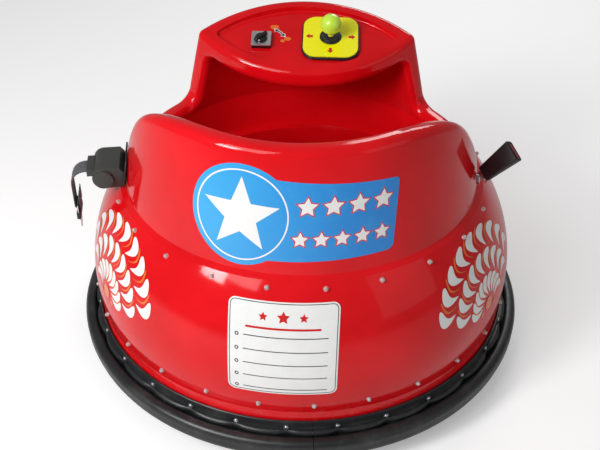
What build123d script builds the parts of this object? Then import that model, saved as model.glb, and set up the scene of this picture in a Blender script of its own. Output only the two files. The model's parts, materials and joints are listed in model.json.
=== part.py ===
from build123d import *
from math import cos, hypot, radians, sin, sqrt, tan
import os

os.makedirs("parts", exist_ok=True)

# Frame: origin on the floor under the middle of the car, +Y the way the rider faces, +Z up.
# All lengths are millimetres and all angles degrees. Bearings round the body are counted from
# the rear (-Y), positive towards the rider's right (+X).

# ---------------------------------------------------------------- outer moulding
hemRadius = 490.0        # skirt at its lowest edge
hemHeight = 90.0
hemFlare = 2.5
bandRadius = hemRadius - hemFlare       # waist above the flared hem band
bandHeight = 142.0
shoulderWidth = 90.0
footRadius = hemRadius - shoulderWidth  # foot of the leaning drum that forms seat back and console
footHeight = 435.0
crownLedge = 12.0
crownStep = 8.0
crownRadius = footRadius + crownLedge   # where the dome stops, just below the drum
crownHeight = footHeight - crownStep
domeBulge = 33.0         # how far the dome arc stands off its chord
shellWall = 6.0
drumLean = 0.2           # inward lean of the drum, per unit of height
backRise = 250.0
rimHeight = footHeight + backRise       # top of the seat back
wallThickness = 48.0     # double-skinned seat back and console cheeks
rimFillet = 19.0

# Seat back shoulders and side entries, seen from the side
shoulderInset = 110.0
shoulderCentreY = shoulderInset - footRadius
shoulderRadius = 245.0
shoulderSweep = 52.0
sillRise = 23.0
sillHeight = footHeight + sillRise
sillBlend = 45.0
jointInset = 215.0
consoleY = footRadius - jointInset      # joint between the sill and the console moulding

# ---------------------------------------------------------------- console
consoleDepth = 274.0     # from the lip's middle to the drum's foot
consoleLipY = footRadius - consoleDepth
lipRise = 165.0
consoleLipHeight = footHeight + lipRise
consoleTilt = 22.0
lipTightness = 35.0
consoleLipRadius = footRadius - lipTightness
lipLean = 0.12           # the fascia and the cheeks' fronts come forward as they go down
consoleSlab = 48.0       # depth of the panel behind the fascia
cheekBlend = 34.0        # sweep from the sill up into the cheek
consoleEdge = 18.0       # rounding all round the top
trayTilt = 20.0          # the tray's floor lies flatter than its rim
trayDepth = 5.0
trayCorner = 12.0
trayEdge = 4.0
trayLipInset = 22.0      # ridge left between fascia and tray
trayInset = 80.0
trayRadius = footRadius - trayInset     # far edge of the tray, about the body axis
trayLipRadius = 320.0

# ---------------------------------------------------------------- cockpit tub
tubWall = 5.0
tubTaper = 0.12
seatHeight = 340.0
seatFrontY = 70.0
wellInset = 150.0
wellHalfWidth = footRadius - wellInset
wellStep = 22.6          # ledge between the seat's edge and the well's curved wall
wellFloor = 139.0
wellCorner = 40.0
seatGap = 0.5            # clearance between nested mouldings

# ---------------------------------------------------------------- rubber bumper
bumperBottom = 40.0
bumperTop = 120.0
bumperGap = 0.3
bumperFlange = 4.0
bumperReach = 42.0       # how far the bumper stands out from the hem
beadDrop = 22.0          # top of the bead below the flange's edge
beadHeight = 14.0
beadReach = 9.0
beadBow = 5.5            # how far the section's arcs stand off their chords
grooveReach = 12.0
grooveDrop = 4.0         # floor of the groove below the bead
faceDrop = 7.0           # top of the broad face below the bead's top
faceRound = 17.0
skirtRise = 22.0         # step above the bumper's lower ridge
ridgeStep = 2.5
ridgeReach = 18.0
bumperChamfer = 6.0
seamGap = 1.2            # butt joint of the extrusion
seamBearing = 5.0

# ---------------------------------------------------------------- chassis
hoopHeight = 60.0
hoopWall = 5.0
hoopGap = 0.2
railWidth = 50.0
railHeight = 30.0
tubeWall = 3.0
crossWidth = 40.0
casterInset = 105.0
casterY = hemRadius - casterInset
crossPlaces = (casterY, 190.0, 0.0, -180.0, -casterY)

# ---------------------------------------------------------------- drive
wheelRadius = 100.0
wheelWidth = 56.0
wheelInset = 118.0       # middle of the tyre inside the hem
wheelX = hemRadius - wheelInset
railInset = 192.0
railX = wheelX - railInset
rimRadius = 72.0
shaftRadius = 10.0
runningClearance = 0.08
gearboxLength = 88.0
gearboxWidth = 96.0
gearboxTall = 88.0
gearboxCorner = 12.0
motorRadius = 38.0
motorLength = 165.0
motorRise = 4.0          # motor axis above the axle
motorEdge = 6.0
mountPlate = 8.0
mountFoot = 25.0         # plate length beyond each end of the gearbox
batteryGap = 6.0
batteryTrayWall = 3.0
batteryTrayLip = 38.0
batteryTrayMargin = 2.0  # tray's end inside the rail's outer face
batteryWide = railX + railWidth / 2 - batteryTrayMargin - batteryTrayWall - batteryGap / 2
batteryPlan = (batteryWide, 165.0)
batteryHeadroom = 28.0   # air between the batteries and the seat above them
batteryCorner = 6.0
batteryY = -188.0
noseRadius = 24.0
noseLength = 14.0
hubRadius = 22.0
hubWidth = 50.0
hubWeb = 12.0
hubFlange = 8.0          # thickness of the rim that carries the tyre
hubHoles = 5
hubHoleRadius = 11.0
tyreShoulder = 10.0
tyreBow = 3.0

# ---------------------------------------------------------------- casters
casterRadius = 37.5
casterTread = 26.0
casterCoreRadius = 27.0
casterTrail = 28.0
casterPlate = (92.0, 68.0, 4.0)
kingpinRadius = 6.0
raceRadius = 21.0
raceHeight = 7.0
forkCrown = 6.0
forkCorner = 6.0
forkLeg = 3.5
forkGap = 5.0
forkBoss = 11.0
forkRake = 4.0           # crown's rear end behind the wheel's axle
seatedGap = 0.3
casterAxleRadius = 5.0
casterAxleGap = 0.05
casterNut = (8.0, 4.0)   # radius and height
casterBoss = 11.0
treadRound = 5.0

# ---------------------------------------------------------------- lamps
lampRadius = 5.5
lampTip = 3.3
lampHeight = 7.0
lampSeat = 0.05
lowerLampRise = 23.0     # above the waist
upperLampDrop = 11.0     # below the crown
lampRows = {
    "lamps_lower": {"height": bandHeight + lowerLampRise, "count": 27, "start": 5.4},
    "lamps_upper": {"height": crownHeight - upperLampDrop, "count": 23, "start": 8.6},
}

# ---------------------------------------------------------------- controls
joystickReach = 107.0    # beyond the lip's edge
joystickPlace = (57.5, consoleLipY + joystickReach)
joystickSize = 136.0
joystickCorner = 34.0
joystickBase = 8.0
joystickRim = 3.5        # black base showing round the coloured plate
joystickFacing = 2.5
bootRadius = 26.0
bootGap = 0.5
bootCrown = 4.0
bootTop = 12.0           # radius of the boot's flat top
stemRadius = 4.5
stemFlare = 8.0
flareHeight = 8.0
knobRadius = 24.5
knobHeight = 50.0
switchReach = 97.0
switchPlace = (-106.0, consoleLipY + switchReach)
switchSize = 48.0
switchRim = 1.0
switchCorner = 3.0
switchBase = 9.0
switchFacing = 2.0
switchCollar = (15.0, 5.0)       # radius and height
switchGrip = (38.0, 9.0, 16.0)
switchTurn = 40.0

# ---------------------------------------------------------------- lap belt
retractorBearing = -80.5
reelRise = 21.0
reelHeight = footHeight + reelRise
reelOffset = 43.0        # reel axis outside the drum foot
reelLength = 92.0
reelRadius = 25.0
reelHeel = 2.5           # rise of the reel's foot, clear of the skirt's crown
reelShoulder = 12.0      # slope from the bracket up to the reel's top
capRadius = 21.0
capDepth = 7.0
throatReach = 12.0
throatRoot = 4.0
throatRise = 7.0         # strap's exit above the reel's axis
throatHeight = 16.0
throatMargin = 8.0
slotMargin = 1.0
bracketWall = 4.0
bracketFoot = 6.0        # clear of the skirt's crown
bracketLeft = 46.0
bracketRight = 66.0
bracketTop = 36.0
bracketSlant = 28.0
strapWidth = 46.0
strapThickness = 2.5
strapClearance = 0.4
strapLead = 4.0
strapBend = 34.0
strapFold = 6.0
strapDrop = 56.0         # straight fall from the bend to the fold
strapTail = 30.0
tongueThickness = 2.5
tongueWidth = 58.0
tongueBar = 8.0
tongueBlade = 24.0
tongueBladeLength = 34.0
tongueSlack = 1.5        # the strap's play in the tongue's slot, each side
bootHeight = 16.0
bootThickness = 9.0
bootLip = 2.0
bootEdge = 3.0
buckleBearing = 80.0
buckleRise = 16.0
buckleHeight = footHeight + buckleRise
buckleAxis = (0.60, -0.15, 0.79)
buckleAcross = (0.44, -0.76, -0.47)
buckleLength = 88.0
buckleWidth = 50.0
buckleDepth = 24.0
buckleRootWidth = 36.0
buckleRootDepth = 18.0
buckleCorner = 6.0
anchorRadius = 11.0
anchorTab = (20.0, 4.0, 13.0)
anchorStart = 7.0        # along the buckle axis, clear of the wall
buttonSize = (38.0, 9.0, 7.0)
buttonSink = 1.0         # button's face below the buckle's end
buttonOffset = 5.0
buttonGap = 0.3
slotSize = (40.0, 5.0, 30.0)
slotOffset = -5.5


standing = (Align.CENTER, Align.CENTER, Align.MIN)
hanging = (Align.CENTER, Align.CENTER, Align.MAX)


def drumRadius(height):
    return footRadius - (height - footHeight) * drumLean


def tubRadius(height):
    return footRadius - wallThickness - (footHeight - height) * tubTaper


def railTop():
    return wellFloor - tubWall


def outwardAt(bearing):
    return Vector(sin(radians(bearing)), -cos(radians(bearing)), 0)


def bearingPlane(bearing, radius, height):
    """Plane at a bearing round the body: X outwards, Z up, Y along the wall."""
    outward = outwardAt(bearing)
    return Plane(origin=outward * radius + Vector(0, 0, height), x_dir=outward, z_dir=(0, 0, 1))


def wallPlane(bearing, height, gap):
    """Plane lying on the drum's leaning face: Z along its outward normal, Y up the wall."""
    outward = outwardAt(bearing)
    normal = (outward + Vector(0, 0, drumLean)).normalized()
    place = outward * drumRadius(height) + Vector(0, 0, height) + normal * gap
    return Plane(origin=place, x_dir=Vector(0, 0, 1).cross(outward), z_dir=normal)


def turned(edges, sweep=360.0):
    """Solid of revolution about Z from edges given as (radius, height) curves."""
    return revolve(Plane.XZ * make_face(Curve() + edges), Axis.Z, sweep)


def closedLines(points):
    return [Line(a, b) for a, b in zip(points, points[1:] + points[:1])]


def bowed(start, end, depth):
    """Arc that stands off its chord by depth, to the left of the way from start to end."""
    start, end = Vector(*start), Vector(*end)
    chord = end - start
    left = Vector(-chord.Y, chord.X).normalized()
    return ThreePointArc(start, (start + end) / 2 + left * depth, end)


def sideProfile(edges):
    """Prism across the whole car from a closed outline in the side view (y, z)."""
    return extrude(Plane.YZ * make_face(Curve() + edges), hemRadius, both=True)


def edgesWhere(shape, *measures):
    """Edges along which every measure, a function of a point, stays at zero."""
    return [e for e in shape.edges() if all(
        abs(measure(e.position_at(share))) < 0.5 for measure in measures for share in (0.1, 0.5, 0.9))]


def arcCentre(points):
    return ThreePointArc(*points).arc_center


def domeArc(inset):
    """The dome of the skirt as an arc concentric with its outer face."""
    start = Vector(bandRadius, bandHeight)
    end = Vector(crownRadius, crownHeight)
    chord = end - start
    outward = Vector(-chord.Y, chord.X).normalized() * -1
    radius = (chord.length ** 2 / 4 + domeBulge ** 2) / (2 * domeBulge)
    top = (start + end) / 2 + outward * domeBulge
    centre = top - outward * radius
    share = (radius - inset) / radius
    return [centre + (p - centre) * share for p in (start, top, end)]


def bodySkirt():
    outer = domeArc(0)
    inner = domeArc(shellWall)
    lip = footRadius - wallThickness + tubWall + seatGap
    edges = [
        Line((hemRadius - shellWall, hemHeight), (hemRadius, hemHeight)),
        Line((hemRadius, hemHeight), outer[0]),
        ThreePointArc(*outer),
        Line(outer[2], (footRadius, footHeight)),
        Line((footRadius, footHeight), (lip, footHeight)),
        Line((lip, footHeight), (lip, footHeight - shellWall)),
        Line((lip, footHeight - shellWall), (footRadius, footHeight - shellWall)),
        Line((footRadius, footHeight - shellWall), inner[2]),
        ThreePointArc(*reversed(inner)),
        Line(inner[0], (hemRadius - shellWall, hemHeight)),
    ]
    return turned(edges)


def leaningWall():
    top = rimHeight + wallThickness
    return turned(closedLines([
        (footRadius, footHeight),
        (drumRadius(top), top),
        (drumRadius(top) - wallThickness, top),
        (footRadius - wallThickness, footHeight),
    ]))


def tilted(drop, tilt=consoleTilt):
    """Heights of a plane that leans about the console's lip, dropped square to it, by y."""
    slope = tan(radians(tilt))
    fall = drop / cos(radians(tilt))
    return lambda y: consoleLipHeight + (y - consoleLipY) * slope - fall


def seatBack():
    turn = radians(shoulderSweep)
    half = turn / 2
    arcTop = (shoulderCentreY, rimHeight)
    centreZ = rimHeight - shoulderRadius
    arcMid = (shoulderCentreY + shoulderRadius * sin(half), centreZ + shoulderRadius * cos(half))
    arcEnd = (shoulderCentreY + shoulderRadius * sin(turn), centreZ + shoulderRadius * cos(turn))
    reach = sillBlend * tan(half)
    footY = arcEnd[0] + (arcEnd[1] - sillHeight) / tan(turn)
    blendStart = (footY - reach * cos(turn), sillHeight + reach * sin(turn))
    blendEnd = (footY + reach, sillHeight)
    blendMid = (blendEnd[0] - sillBlend * sin(half), sillHeight + sillBlend * (1 - cos(half)))
    far = -footRadius - wallThickness
    edges = [
        Line((far, footHeight), (far, rimHeight)),
        Line((far, rimHeight), arcTop),
        ThreePointArc(arcTop, arcMid, arcEnd),
        Line(arcEnd, blendStart),
        ThreePointArc(blendStart, blendMid, blendEnd),
        Line(blendEnd, (consoleY, sillHeight)),
        Line((consoleY, sillHeight), (consoleY, footHeight)),
        Line((consoleY, footHeight), (far, footHeight)),
    ]
    wall = leaningWall() & sideProfile(edges)
    onFoot = wall.edges().group_by(Axis.Z)[0]
    onJoint = edgesWhere(wall, lambda p: p.Y - consoleY)
    faces = (lambda p: hypot(p.X, p.Y) - drumRadius(p.Z),
             lambda p: hypot(p.X, p.Y) - drumRadius(p.Z) + wallThickness)
    rim = [e for face in faces for e in edgesWhere(wall, face) if e not in onFoot and e not in onJoint]
    return fillet(rim, rimFillet)


def underPlane(drop, tilt=consoleTilt):
    """Prism below the console's tilted plane, from the drum foot up and the car's middle forward."""
    height = tilted(drop, tilt)
    topY = footRadius + wallThickness
    return sideProfile(closedLines([
        (0, footHeight), (0, height(0)), (topY, height(topY)), (topY, footHeight),
    ]))


def drumCore(wall):
    """Everything inside the leaning drum, less a wall."""
    foot = footRadius - wall
    top = rimHeight + 2 * wallThickness
    return turned(closedLines([
        (0, footHeight), (foot, footHeight), (foot - (top - footHeight) * drumLean, top), (0, top),
    ]))


def lipRadius(height):
    return consoleLipRadius + (consoleLipHeight - height) * lipLean


def console():
    """Cheeks and fascia panel in one moulding: the lip's curve also shapes the cheeks' front."""
    far = footRadius + wallThickness
    top = rimHeight + 2 * wallThickness
    lipCentreY = consoleLipY + consoleLipRadius
    ledge = Pos(0, (consoleY + far) / 2, footHeight)
    ledge *= Box(2 * far, far - consoleY, sillHeight - footHeight, align=standing)
    lip = Cone(lipRadius(footHeight), lipRadius(top), top - footHeight, align=standing)
    blank = (ledge + Pos(0, lipCentreY, footHeight) * lip) & drumCore(0) & underPlane(0)
    body = blank - (drumCore(wallThickness) & underPlane(consoleSlab))

    def onTop(p):
        return p.Z - tilted(0)(p.Y)

    def onSlab(p):
        return p.Z - tilted(consoleSlab)(p.Y)

    def onLip(p):
        return hypot(p.X, p.Y - lipCentreY) - lipRadius(p.Z)

    def onDrum(p):
        return hypot(p.X, p.Y) - drumRadius(p.Z)

    def onRecess(p):
        return onDrum(p) + wallThickness

    def frontal(edges):
        """Of the edges given, those along the sill and up the front of the cheeks."""
        middles = [(e, e.position_at(0.5)) for e in edges]
        return [e for e, p in middles if p.Y > consoleY + 1 and p.Z > footHeight + 1
                and onLip(p) > -1 and abs(onTop(p)) > 1]

    body = fillet(edgesWhere(body, onLip, lambda p: p.Z - sillHeight), cheekBlend)
    body = fillet(frontal(edgesWhere(body, onDrum)), rimFillet)
    inner = frontal(edgesWhere(body, onRecess))
    body = fillet(inner + edgesWhere(body, onSlab, onLip) + edgesWhere(body, onSlab, onRecess), rimFillet)
    body = fillet(edgesWhere(body, onTop), consoleEdge)
    trayCentreY = consoleLipY + trayLipInset + trayLipRadius
    lens = Plane.XY * (Pos(0, trayCentreY) * Circle(trayLipRadius) & Circle(trayRadius))
    lens = extrude(fillet(lens.vertices(), trayCorner), 2 * top)
    pocket = lens & (Pos(0, 0, footHeight) * Cylinder(2 * far, top, align=standing))
    pocket -= underPlane(trayDepth, trayTilt)
    floor = edgesWhere(pocket, lambda p: p.Z - tilted(trayDepth, trayTilt)(p.Y))
    return body - fillet(floor, trayEdge)


def cockpitTub():
    """Seat pan, leg well and foot floor as one thin moulding open at the top."""
    def bowl(wall):
        base = seatHeight - wall
        return turned(closedLines([
            (0, base), (tubRadius(base) + wall, base),
            (tubRadius(footHeight) + wall, footHeight), (0, footHeight),
        ]))

    def well(wall):
        plan = Circle(tubRadius(seatHeight) - wellStep + wall)
        plan &= Pos(0, seatFrontY - wall + footRadius) * Rectangle(2 * (wellHalfWidth + wall), 2 * footRadius)
        return extrude(Pos(0, 0, wellFloor - wall) * plan, seatHeight + wall - wellFloor)

    def rounded(shape, radius):
        """The tub with the upright corners of its well rounded."""
        upright = shape.edges().filter_by(Axis.Z)
        return fillet([e for e in upright if e.length > (seatHeight - wellFloor) / 2], radius)

    outer = rounded(bowl(tubWall) + well(tubWall), wellCorner + tubWall)
    return outer - rounded(bowl(0) + well(0), wellCorner)


def bumperRing():
    """Rubber extrusion bent to a hoop, with its butt seam at the rear."""
    inside = hemRadius + bumperGap
    flange = inside + bumperFlange
    reach = hemRadius + bumperReach
    bead = bumperTop - beadDrop
    beadFoot = bead - beadHeight
    groove = flange + grooveReach
    grooveFloor = beadFoot - grooveDrop
    face = bead - faceDrop
    faceStart = groove + grooveReach
    step = bumperBottom + skirtRise
    section = [
        Line((inside, bumperBottom + bumperChamfer), (inside, bumperTop)),
        Line((inside, bumperTop), (flange, bumperTop)),
        Line((flange, bumperTop), (flange, bead)),
        bowed((flange, bead), (flange + beadReach, beadFoot), beadBow),
        Line((flange + beadReach, beadFoot), (flange + beadReach, grooveFloor)),
        Line((flange + beadReach, grooveFloor), (groove, grooveFloor)),
        bowed((groove, grooveFloor), (faceStart, face), beadBow),
        bowed((faceStart, face), (reach, face - faceRound), beadBow),
        Line((reach, face - faceRound), (reach, step)),
        Line((reach, step), (reach - ridgeStep, step - ridgeStep)),
        bowed((reach - ridgeStep, step - ridgeStep), (reach - ridgeReach, bumperBottom), beadBow),
        Line((reach - ridgeReach, bumperBottom), (inside + bumperChamfer, bumperBottom)),
        Line((inside + bumperChamfer, bumperBottom), (inside, bumperBottom + bumperChamfer)),
    ]
    middle = bearingPlane(seamBearing, hemRadius, (bumperTop + bumperBottom) / 2)
    return turned(section) - middle * Box(3 * bumperReach, seamGap, 2 * (bumperTop - bumperBottom))


def hoopRadius():
    """Outer radius of the hoop, which touches the tapering hem at its top edge."""
    share = (railTop() - hemHeight) / (bandHeight - hemHeight)
    return hemRadius + share * (bandRadius - hemRadius) - shellWall - hoopGap


def chassisHoop():
    outer = Cylinder(hoopRadius(), hoopHeight, align=hanging)
    inner = Cylinder(hoopRadius() - hoopWall, hoopHeight, align=hanging)
    return Pos(0, 0, railTop()) * (outer - inner)


def insideHoop():
    return Cylinder(hoopRadius() - hoopWall, 2 * railTop() + hoopHeight)


def squareTube(across, along):
    """Open square tube lying along Y."""
    return Box(across, along, railHeight) - Box(across - 2 * tubeWall, along, railHeight - 2 * tubeWall)


def chassisRails():
    middle = railTop() - railHeight / 2
    tube = squareTube(railWidth, 2 * hemRadius)
    return [Pos(side * railX, 0, middle) * tube & insideHoop() for side in (-1, 1)]


def crossMember(place):
    tube = Rot(0, 0, 90) * squareTube(crossWidth, 2 * railX - railWidth)
    return Pos(0, place, railTop() - railHeight / 2) * tube


def batteryTray():
    wall = batteryTrayWall
    long = 2 * batteryPlan[0] + batteryGap + 2 * wall
    wide = batteryPlan[1] + 2 * wall
    tray = Box(long, wide, batteryTrayLip, align=standing)
    tray -= Pos(0, 0, wall) * Box(long - 2 * wall, wide - 2 * wall, batteryTrayLip, align=standing)
    return Pos(0, batteryY, railTop()) * tray


def batteries():
    foot = railTop() + batteryTrayWall
    tall = seatHeight - tubWall - batteryHeadroom - foot
    case = Pos(0, batteryY, foot) * Box(*batteryPlan, tall, align=standing)
    case = fillet(case.edges().filter_by(Axis.Z), batteryCorner)
    return [Pos(side * (batteryPlan[0] + batteryGap) / 2) * case for side in (-1, 1)]


def driveSide(side):
    """Mount plate, gearbox, motor, shaft, hub and tyre on one side; side is -1 or 1."""
    axleZ = wheelRadius
    plateX = railX + (railWidth + mountPlate) / 2
    plateLow = axleZ - gearboxTall / 2
    plate = Pos(side * plateX, 0, (railTop() + plateLow) / 2)
    plate *= Box(mountPlate, gearboxWidth + 2 * mountFoot, railTop() - plateLow)
    boxX = plateX + (mountPlate + gearboxLength) / 2
    gearbox = Box(gearboxLength, gearboxWidth, gearboxTall)
    gearbox = Pos(side * boxX, 0, axleZ) * fillet(gearbox.edges().filter_by(Axis.X), gearboxCorner)
    noseEnd = boxX + gearboxLength / 2 + noseLength

    def axial(start, end, radius):
        """Cylinder on the axle between two distances from the car's middle."""
        place = Pos(side * (start + end) / 2, 0, axleZ) * Rot(0, 90, 0)
        return place * Cylinder(radius, end - start)

    gearbox += axial(noseEnd - noseLength, noseEnd, noseRadius)
    gearbox -= axial(boxX - 1, noseEnd, shaftRadius + runningClearance)
    motor = Pos(side * boxX, -(gearboxWidth + motorLength) / 2, axleZ + motorRise)
    motor *= Rot(90, 0, 0) * Cylinder(motorRadius, motorLength)
    motor = fillet(motor.edges().sort_by(Axis.Y)[0], motorEdge)
    wheel = Pos(side * wheelX, 0, axleZ) * Rot(0, 90, 0)
    return {
        "drive_plate": plate,
        "gearbox": gearbox,
        "motor": motor,
        "shaft": axial(boxX, wheelX + hubWidth / 2, shaftRadius),
        "hub": wheel * driveHub(),
        "tyre": wheel * driveTyre(),
    }


def driveHub():
    """Cast wheel centre turned about its own Z axis."""
    half = hubWidth / 2
    web = hubWeb / 2
    well = rimRadius - hubFlange
    hub = turned(closedLines([
        (shaftRadius, -half), (hubRadius, -half), (hubRadius, -web), (well, -web), (well, -half - 1),
        (rimRadius, -half - 1), (rimRadius, half + 1), (well, half + 1), (well, web), (hubRadius, web),
        (hubRadius, half), (shaftRadius, half),
    ]))
    hole = Pos((hubRadius + well) / 2, 0) * Cylinder(hubHoleRadius, wheelWidth)
    for k in range(hubHoles):
        hub -= Rot(0, 0, k * 360 / hubHoles) * hole
    return hub


def driveTyre():
    half = wheelWidth / 2
    wall = wheelRadius - tyreShoulder
    low = half - tyreShoulder
    return turned([
        Line((rimRadius, -half), (rimRadius, half)),
        Line((rimRadius, half), (wall, half)),
        bowed((wall, half), (wheelRadius, low), tyreBow),
        Line((wheelRadius, low), (wheelRadius, -low)),
        bowed((wheelRadius, -low), (wall, -half), tyreBow),
        Line((wall, -half), (rimRadius, -half)),
    ])


def casterPieces(place):
    """Caster with its swivel axis at y = place, trailing towards the rear."""
    top = railTop() - railHeight
    plateLow = top - casterPlate[2]
    crownTop = plateLow - raceHeight - seatedGap
    crownLow = crownTop - forkCrown
    axleY = place - casterTrail
    axle = Pos(0, axleY, casterRadius) * Rot(0, 90, 0)
    legInside = casterTread / 2 + forkGap
    legOutside = legInside + forkLeg
    crownFront = place + raceRadius
    crownRear = axleY + forkRake

    plate = Pos(0, place, top) * Box(*casterPlate, align=hanging)
    plate += Pos(0, place, plateLow) * Cylinder(raceRadius, raceHeight, align=hanging)
    plate -= Pos(0, place, top) * Cylinder(kingpinRadius + runningClearance, railHeight, align=hanging)

    crown = Pos(0, (crownFront + crownRear) / 2, crownLow)
    crown *= Box(2 * legOutside, crownFront - crownRear, forkCrown, align=standing)
    crown = fillet(crown.edges().filter_by(Axis.Z), forkCorner)
    front, rear = axleY + forkBoss, axleY - forkBoss
    legs = sideProfile([
        Line((crownFront - forkCorner, crownTop), (crownRear + forkCorner, crownTop)),
        Line((crownRear + forkCorner, crownTop), (rear, casterRadius)),
        ThreePointArc((rear, casterRadius), (axleY, casterRadius - forkBoss), (front, casterRadius)),
        Line((front, casterRadius), (crownFront - forkCorner, crownTop)),
    ])
    legs &= axle * Cylinder(4 * casterRadius, 2 * legOutside)
    legs -= axle * Cylinder(4 * casterRadius, 2 * legInside)
    pin = Pos(0, place, crownLow) * Cylinder(kingpinRadius, top - crownLow, align=standing)
    fork = crown + legs + pin - axle * Cylinder(casterAxleRadius + casterAxleGap, 4 * legOutside)

    nutRadius, nutHeight = casterNut
    nut = Cylinder(nutRadius, nutHeight, align=standing)
    bolt = Cylinder(casterAxleRadius, 2 * legOutside)
    bolt += Pos(0, 0, legOutside) * nut
    bolt += Pos(0, 0, -legOutside - nutHeight) * nut

    half = casterTread / 2
    core = Cylinder(casterCoreRadius, casterTread - 2) + Cylinder(casterBoss, 2 * (legInside - seatedGap))
    core -= Cylinder(casterAxleRadius + runningClearance, 2 * legOutside)
    shoulder = casterRadius - treadRound
    tread = turned([
        Line((casterCoreRadius, 1 - half), (casterCoreRadius, half - 1)),
        Line((casterCoreRadius, half - 1), (shoulder, half)),
        ThreePointArc((shoulder, half), (casterRadius, 0), (shoulder, -half)),
        Line((shoulder, -half), (casterCoreRadius, 1 - half)),
    ])
    return {"plate": plate, "fork": fork, "bolt": axle * bolt, "core": axle * core, "tread": axle * tread}


def lamps():
    """Both rows of lamp lenses, each standing square to the dome."""
    outer = domeArc(0)
    centre = arcCentre(outer)
    radius = (outer[0] - centre).length
    lenses = []
    for row in lampRows.values():
        slope = (row["height"] - centre.Y) / radius
        for k in range(row["count"]):
            bearing = row["start"] + k * 360 / row["count"]
            outward = outwardAt(bearing)
            normal = outward * sqrt(1 - slope ** 2) + Vector(0, 0, slope)
            place = outward * (centre.X + radius * sqrt(1 - slope ** 2)) + Vector(0, 0, row["height"])
            seat = Plane(origin=place + normal * lampSeat, z_dir=normal)
            lenses.append(seat * Cone(lampRadius, lampTip, lampHeight, align=standing))
    return lenses


def trayPlane(place):
    """Plane on the tray's floor over a point (x, y) seen from above, Z square to the tray."""
    x, y = place
    lean = radians(trayTilt)
    height = tilted(trayDepth, trayTilt)(y)
    return Plane(origin=(x, y, height), x_dir=(1, 0, 0), z_dir=(0, -sin(lean), cos(lean)))


def slabOf(plane, size, corner, low, high):
    return extrude(plane.offset(low) * RectangleRounded(size, size, corner), high - low)


def joystick():
    plane = trayPlane(joystickPlace)
    facing = joystickSize - 2 * joystickRim
    top = joystickBase + joystickFacing
    plate = slabOf(plane, facing, joystickCorner - joystickRim, joystickBase, top)
    plate -= plane * Cylinder(bootRadius, 4 * joystickBase)
    crown = Cone(bootRadius - bootGap, bootTop, bootCrown, align=standing)
    boot = Cylinder(bootRadius - bootGap, joystickFacing, align=standing) + Pos(0, 0, joystickFacing) * crown
    foot = top + bootCrown
    neck = knobHeight - sqrt(knobRadius ** 2 - stemRadius ** 2)
    stem = turned(closedLines([
        (0, foot), (stemFlare, foot), (stemRadius, foot + flareHeight), (stemRadius, neck), (0, neck),
    ]))
    belowNeck = Pos(0, 0, neck) * Cylinder(knobRadius, knobRadius, align=hanging)
    return {
        "base": slabOf(plane, joystickSize, joystickCorner, 0, joystickBase),
        "plate": plate,
        "boot": plane.offset(joystickBase) * boot,
        "stem": plane * stem,
        "knob": plane * (Pos(0, 0, knobHeight) * Sphere(knobRadius) - belowNeck),
    }


def rotarySwitch():
    plane = trayPlane(switchPlace)
    top = switchBase + switchFacing
    grip = Box(*switchGrip, align=standing)
    grip = fillet(grip.edges().filter_by(Axis.Z), switchGrip[1] / 2 - switchRim)
    return {
        "base": slabOf(plane, switchSize - 2 * switchRim, switchCorner - switchRim, 0, switchBase),
        "plate": slabOf(plane, switchSize, switchCorner, switchBase, top),
        "knob": plane.offset(top) * Rot(0, 0, switchTurn) * (Cylinder(*switchCollar, align=standing) + grip),
    }


def reelSide(height):
    """How far the bracket's outer face stands from the drum foot at a height, with a hair's gap."""
    return drumRadius(height) - footRadius + (bracketWall + 2 * seatedGap) * sqrt(1 + drumLean ** 2)


def beltReel():
    """Retractor on the rider's left: its bracket, and the housing with end cap and throat."""
    seat = bearingPlane(retractorBearing, footRadius, 0)
    wall = wallPlane(retractorBearing, reelHeight, seatedGap)
    low = footHeight + bracketFoot - reelHeight
    outline = Plane.XY * make_face(Curve() + closedLines([
        (bracketRight, low), (-bracketLeft, low), (-bracketLeft, bracketTop),
        (bracketRight - bracketSlant, bracketTop),
    ]))
    top = reelHeight + reelRadius
    base = reelHeight - reelRadius
    heel = base + reelHeel
    across = Plane(origin=seat.origin, x_dir=seat.x_dir, z_dir=-seat.y_dir)
    housing = extrude(across * make_face(Curve() + [
        Line((reelSide(heel), heel), (reelSide(top - reelShoulder), top - reelShoulder)),
        Line((reelSide(top - reelShoulder), top - reelShoulder), (reelSide(top) + reelShoulder, top)),
        Line((reelSide(top) + reelShoulder, top), (reelOffset, top)),
        bowed((reelOffset, top), (reelOffset, base), reelRadius),
        Line((reelOffset, base), (reelSide(heel), heel)),
    ]), reelLength / 2, both=True)
    cap = seat * Pos(reelOffset, (reelLength + capDepth) / 2, reelHeight)
    housing += cap * Rot(90, 0, 0) * Cylinder(capRadius, capDepth)
    root = reelOffset + reelRadius - throatRoot
    end = throatEnd()
    throat = Box(end - root, strapWidth + 2 * throatMargin, throatHeight)
    slot = Box(2 * throatReach, strapWidth + 2 * slotMargin, strapThickness + 2 * strapClearance)
    housing += seat * Pos((root + end) / 2, 0, reelHeight + throatRise) * throat
    housing -= seat * Pos(end, 0, reelHeight + throatRise) * slot
    return {"belt_bracket": extrude(wall * outline, bracketWall), "belt_reel": housing}


def throatEnd():
    return reelOffset + reelRadius + throatReach


def strapFall():
    """Where the strap's outer run is, from the drum foot, and the height at which it folds."""
    return throatEnd() + strapLead + strapBend, reelHeight + throatRise - strapBend - strapDrop


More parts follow.
